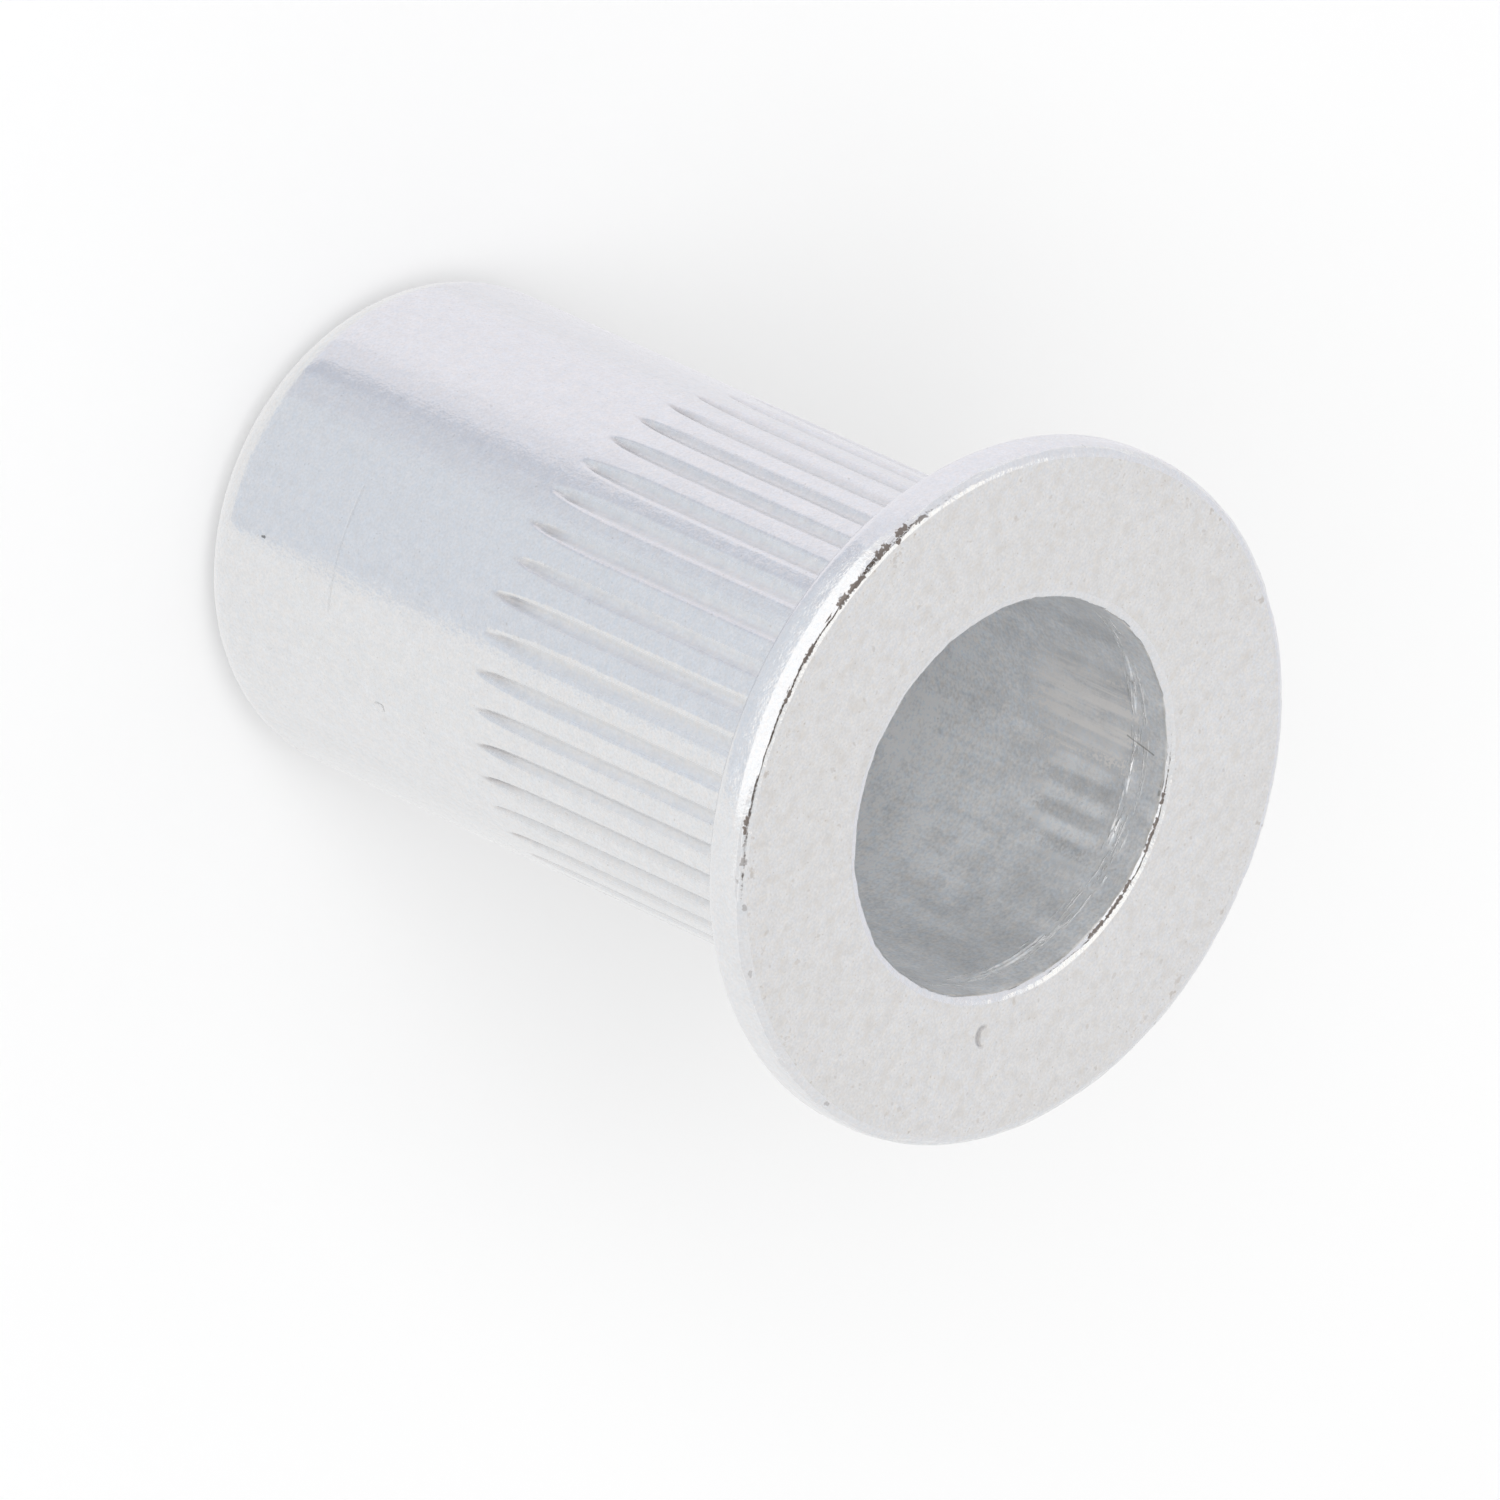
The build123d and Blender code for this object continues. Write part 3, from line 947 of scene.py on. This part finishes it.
in_throat = product(t, fade(t, depth, 0.50 * MM, 0.62 * MM),
                    fade(t, depth, 0.95 * MM, 1.05 * MM, 1.0, 0.0))
strokes_and_glints = product(t, fade(t, strokes_and_glints, 0.60, 0.72), in_throat)
TOP = LENGTH / MM
aslant = (up + 0.2 * round_from(151)).normalized()
scratch = mark(t, on_wall(151, BORE_RADIUS, TOP - 0.72), aslant,
               (round_from(151) - 0.2 * up).normalized(), 0.36, 0.015, 0.4)

# painted reflection: behind each flute the wall is painted into brighter bars, most of all where
# the light comes in
behind_flute = calc(t, "COSINE", product(t, calc(t, "ARCTAN2", y, x), FLUTES))
lit_patch = mark(t, on_wall(171, BORE_RADIUS, TOP - 1.6), up, round_from(171), 0.2, 1.15, 0.25)
lit_patch = product(t, lit_patch, fade(t, depth, 1.0 * MM, 1.35 * MM))
reflected_bars = fade(t, behind_flute, -0.8, 0.9, 0.88, 1.2, "SMOOTHSTEP")
reflected_bars = calc(t, "MULTIPLY_ADD", calc(t, "SUBTRACT", reflected_bars, 1.0), lit_patch, 1.0)
# painted reflection: a warm light patch, broken into streaks along the drawn lines
warm_reflection = mark(t, on_wall(147, BORE_RADIUS, TOP - 2.1), up, round_from(147), 0.4, 0.95, 0.6)
reflected_streaks = product(t, warm_reflection, fade(t, drawn, 0.35, 0.65, 0.2, 0.85))

base = mixed(t, metal["Tint"], (0.835, 0.88, 0.93, 1), (0.94, 0.92, 0.90, 1))
# painted light: the wall's colour is darker near the mouth and lighter deeper down, standing in for
# how light falls in the bore
base = times(t, base, fade(t, depth, 1.5 * MM, 6.5 * MM, 0.84, 1.10))
base = toned(t, base, (metal["Cloud"], 0.24), (drawn, 0.14), (metal["Grain"], 0.26))
# painted reflection: the bars and the warm streaks brighten the wall's colour
base = mixed(t, reflected_streaks, times(t, base, reflected_bars), (1.0, 0.97, 0.94, 1))
# painted glint: the strokes in the throat are painted near white, besides their real bump and
# smoothness
base = over(t, base, strokes_and_glints, 0.9, (1.0, 1.0, 1.0))
base = over(t, base, metal["Speck"], 0.35, (0.40, 0.37, 0.32))
base = mixed(t, fade(t, depth, 0.06 * MM, 0.15 * MM, 0.45, 0.0), base, (0.42, 0.36, 0.29, 1))
dirt_and_dark_marks = calc(t, "MAXIMUM", product(t, mouth_dirt, 0.7), product(t, scratch, 0.55))
base = mixed(t, dirt_and_dark_marks, base, (0.16, 0.14, 0.11, 1))
finished(t, shader, base, [(metal["Cloud"], 0.10), (strokes_and_glints, -0.15), (1.0, 0.30)],
         [(metal["Grain"], 0.003), (drawn, 0.002), (metal["Cloud"], 0.012), (strokes_and_glints, 0.025)])

# %% [markdown]
# ## Finish: the thread
# The thread is cut last, so it is the brightest and cleanest metal on the nut. The cutter leaves
# very fine lines round the axis, along which it shines.

# %% The thread: cut, so it shines more and has fine lines round it
thread_finish, t, shader = new_finish("thread_aluminium", 0.75)
metal = grained(t, 0.05, 0.6, 0.1, 0.3)
turned_lines = use(t, lines_group, Round=300.0, Along=16000.0)["Lines"]
base = toned(t, (0.76, 0.76, 0.755), (metal["Cloud"], 0.08), (turned_lines, 0.06))
finished(t, shader, base, [(metal["Cloud"], 0.1), (1.0, 0.26)],
         [(metal["Grain"], 0.001), (turned_lines, 0.002)])


# %% [markdown]
# ## Grow the body
# Both trees now get their outline and their sizes. The result is turned into a plain mesh at once,
# so that the modifier is gone and only real points are left. The volume printed here has to be
# positive, and there must be no open edges, or the surface would face inwards or leak.

# %% Grow the body
body = grown("nut_body", section, body_tree, {
    "Columns per flute": 16, "Shank radius": SHANK_RADIUS, "Flutes": FLUTES,
    "Flute width": 0.43 * MM, "Flute depth": 0.09 * MM, "Flute tip": FLUTE_TIP,
    "Ramp top": RAMP_TOP, "Flute top": FLUTE_TOP, "Tip ramp": TIP_RAMP, "Top ramp": TOP_RAMP,
    "Unevenness": 0.08 * MM, "Rim corner": (HEAD_RADIUS - HEAD_CROWN, LENGTH, 0),
    "Mouth corner": (BORE_RADIUS, LENGTH, 0), "Burr": 0.032 * MM, "Bore radius": BORE_RADIUS,
    "Bore ripple": 0.006 * MM, "Seed": 4,
    "Shank finish": shank_finish, "Rim finish": rim_finish, "Face finish": face_finish,
    "Bore finish": bore_finish})

# %% [markdown]
# ## Grow the thread
# The ridge of a metric thread is a cut-off triangle: nearly a whole pitch wide at its root, which
# is sunk into the wall, and a quarter of a pitch at its crest. The helix starts a little below the
# tapped length and ends a little above it, and the tree cuts both ends back to the countersinks.

# %% Grow the thread
OVERRUN = 0.45 * PITCH
ROOT_HALF, CREST_HALF = 0.438 * PITCH, 0.125 * PITCH
thread_section = rounded([
    (ROOT_RADIUS + THREAD_SUNK, -ROOT_HALF, 0.01 * MM, 1, []),
    (ROOT_RADIUS + THREAD_SUNK, ROOT_HALF, 0.01 * MM, 1, evenly(2)),
    (CREST_RADIUS, CREST_HALF, 0.04 * PITCH, 2, []),
    (CREST_RADIUS, -CREST_HALF, 0.04 * PITCH, 2, evenly(2)),
])
THREAD_START = -OVERRUN
turns = (THREAD_TOP + OVERRUN - THREAD_START) / PITCH
thread = grown("nut_thread", thread_section, thread_tree, {
    "Points per turn": 96, "Turns": turns, "Pitch": PITCH, "Start": THREAD_START,
    "Root radius": ROOT_RADIUS, "Crest radius": CREST_RADIUS, "Lead-in radius": LEAD_IN_RADIUS,
    "Countersink height": THREAD_TOP, "Finish": thread_finish})

# %% [markdown]
# ## The stage
# Polished metal has hardly a colour of its own: it shows what stands round it. So the floor is
# white, and a few cards that show in reflections only are placed where the nut's surfaces look. A
# lamp could be tried out in many places instead, but a mirror's rule tells where a card has to be:
# what the shank shows at some angle from the camera lies at twice that angle. A pale blue wedge on
# the floor gives the soft band down the shank.

# %% Floor and cards
def flat_card(name, corners, colour, strength=None):
    """A stage card through these corners; with a strength it glows evenly instead of being lit."""
    mesh = bpy.data.meshes.new(name)
    mesh.from_pydata([tuple(corner) for corner in corners], [], [tuple(range(len(corners)))])
    card = bpy.data.objects.new(name, mesh)
    bpy.context.scene.collection.objects.link(card)
    paper, t, shader = new_finish(name + "_paper", 0.0, 1.0)
    shader["Specular IOR Level"].default_value = 0
    shader["Base Color"].default_value = (*colour, 1)
    if strength is not None:
        shader["Base Color"].default_value = (0, 0, 0, 1)
        shader["Emission Color"].default_value = (*colour, 1)
        shader["Emission Strength"].default_value = strength
    mesh.materials.append(paper)
    return card


def only_in_reflections(card):
    """Hides a card from the camera and from plain light."""
    card.visible_camera = False
    card.visible_diffuse = False
    card.visible_transmission = False
    card.visible_shadow = False


SPREAD = 2.0
flat_card("floor", [(-SPREAD, -SPREAD, 0), (SPREAD, -SPREAD, 0), (SPREAD, SPREAD, 0),
                    (-SPREAD, SPREAD, 0)], (0.97, 0.97, 0.97))


def floor_fan(name, start, end, far, lift, colour, strength=1.0, near=0.3):
    """A card on the floor, between the ways in which the shank at two angles throws the view.
    Angles are in degrees, near, far and lift in mm."""
    steps = max(1, round((end - start) / 8))
    angles = [radians(start + (end - start) * k / steps) for k in range(steps + 1)]
    inner = [beside(a, SHANK_RADIUS) + beside(2 * a, near * MM) for a in angles]
    outer = [beside(a, SHANK_RADIUS) + beside(2 * a, far * MM) for a in angles]
    corners = [corner + up * lift * MM for corner in inner + outer[::-1]]
    only_in_reflections(flat_card(name, corners, colour, strength))


# what the satin shank sees: pale floor, lilac on one side, and a blue-grey band with a darker edge
rounds = [beside(radians(15 * k), 0.09, 0.03 * MM) for k in range(24)]
only_in_reflections(flat_card("pale_card", rounds, (0.955, 0.955, 0.955), 1.0))
for name, start, end, far, lift, colour in (
        ("lilac_card", 26, 62, 70, 0.05, (0.962, 0.952, 1.0)),
        ("lilac_side_card", 62, 88, 70, 0.05, (0.915, 0.91, 0.945)),
        ("pale_side_card", -88, -62, 70, 0.05, (0.93, 0.93, 0.93)),
        ("lilac_edge_card", 26, 33, 70, 0.06, (0.875, 0.875, 0.93)),
        ("band_card", -18, 26, 21.5, 0.07, (0.804, 0.836, 0.888)),
        ("band_side_card", 15, 26, 21.5, 0.08, (0.755, 0.777, 0.836)),
        ("band_edge_card", 22, 25.5, 21.5, 0.09, (0.66, 0.685, 0.76))):
    floor_fan(name, start, end, far, lift, colour)

# beyond the band the floor is bright, which the ends of the flutes and the rim's edge see
BRIGHT = (1.0, 1.0, 1.0)
BRIGHT_STRENGTH = 1.22
floor_fan("bright_card", -18, 23, 600, 0.12, BRIGHT, BRIGHT_STRENGTH, near=23)

# %% [markdown]
# ## Panels that the corners see
# A rounded corner shows nearly the whole room, squeezed into a line. What stands low behind the
# camera's back shows in the rim's outer corner, so a bright panel there gives its white line. The
# panels to the sides are a little darker, like the walls of a real studio.

# %% Far panels, which the rounded corners see
def far_panel(name, from_side, to_side, from_lift, to_lift, colour, strength=1.0, away=0.8):
    """Part of a big ring of card round the nut, between two sides and two heights in degrees."""
    steps = max(1, round((to_side - from_side) / 10))
    sides = [radians(from_side + (to_side - from_side) * k / steps) for k in range(steps + 1)]
    edges = [[beside(a, away * cos(lift), LENGTH + away * sin(lift)) for a in sides]
             for lift in (radians(from_lift), radians(to_lift))]
    for k in range(steps):
        corners = [edges[0][k], edges[0][k + 1], edges[1][k + 1], edges[1][k]]
        only_in_reflections(flat_card(f"{name}_{k}", corners, colour, strength))


far_panel("bright_panel", -32, 44, -1, 30, BRIGHT, BRIGHT_STRENGTH, away=0.75)
far_panel("high_bright_panel", -44, 54, 30, 66, BRIGHT, BRIGHT_STRENGTH, away=0.75)
far_panel("pale_side_panel", -180, -32, 4, 62, (0.885, 0.885, 0.89))
far_panel("lilac_side_panel", 44, 180, 4, 62, (0.865, 0.87, 0.905))

# %% [markdown]
# ## Strips overhead
# The head's corners also look up. A dark strip overhead, such as the gap between two lamps, is what
# draws the thin dark line along the outer corner and the mouth, and the warm pale strip beyond it
# gives the light one beside it. Lines painted on the nut would look right from one side only.

# %% Strips overhead: a dark gap between two pale ones, seen as lines along the corners
OVERHEAD = 0.6


def overhead(name, towards, across, colour, strength=1.0):
    """A card overhead, from and to so far towards the camera, and across to its up."""
    corners = [OVERHEAD * (a * beside(0, 1) + c * beside(radians(90), 1) + up)
               for a, c in ((towards[0], across[0]), (towards[1], across[0]),
                            (towards[1], across[1]), (towards[0], across[1]))]
    only_in_reflections(flat_card(name, corners, colour, strength))


overhead("dark_strip", (-0.10, 0.32), (-0.42, 0.62), (0.10, 0.075, 0.06))
overhead("cream_strip", (-0.80, -0.12), (0.0, 0.4), (1.0, 0.985, 0.95), 1.25)
overhead("pale_strip", (-0.80, -0.12), (-0.9, 0.0), (0.89, 0.89, 0.89))

# %% [markdown]
# ## The surroundings
# The world is pure white where it is seen, directly or in the metal, so the background stays clean.
# As plain light it is weaker, or the floor would be lit to white from all sides and the nut would
# cast no shadow on it. The Light Path node tells the two kinds of ray apart.

# %% The surroundings
world = bpy.data.worlds.new("studio")
bpy.context.scene.world = world
world.use_nodes = True
t = world.node_tree
path = add(t, "ShaderNodeLightPath").outputs
seen = calc(t, "MAXIMUM", calc(t, "MAXIMUM", path["Is Camera Ray"], path["Is Glossy Ray"]),
            path["Is Transmission Ray"])
background = t.nodes["Background"].inputs
background["Color"].default_value = (1, 1, 1, 1)
feed(t, background["Strength"], fade(t, seen, 0.0, 1.0, 0.75, 1.0))


# %% [markdown]
# ## The lamp
# One large soft lamp behind the camera and a little above it is enough: it grounds the nut with a
# faint shadow. It is hidden from the metal, where its square would show as a hard white patch.

# %% The lamp
def soft_lamp(name, angle, lift, distance, size, watts):
    """A square area lamp that points at the middle of the nut."""
    data = bpy.data.lights.new(name, "AREA")
    data.size = size
    data.energy = watts
    lamp = bpy.data.objects.new(name, data)
    away = cos(lift) * beside(angle, 1.0) + sin(lift) * up
    lamp.location = Vector((0, 0, LENGTH / 2)) + distance * away
    lamp.rotation_mode = "QUATERNION"
    lamp.rotation_quaternion = (-away).to_track_quat("-Z", "Y")
    lamp.visible_glossy = False
    bpy.context.scene.collection.objects.link(lamp)


soft_lamp("key", radians(0), radians(50), 0.9, 0.6, 3.55)

# %% [markdown]
# ## Tie the pieces to the part
# Both pieces stand for the one CAD solid, and ride on its body.

# %% Tie the pieces to the part and finish
for piece in (body, thread):
    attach(piece, "root")
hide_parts("rivet_nut")
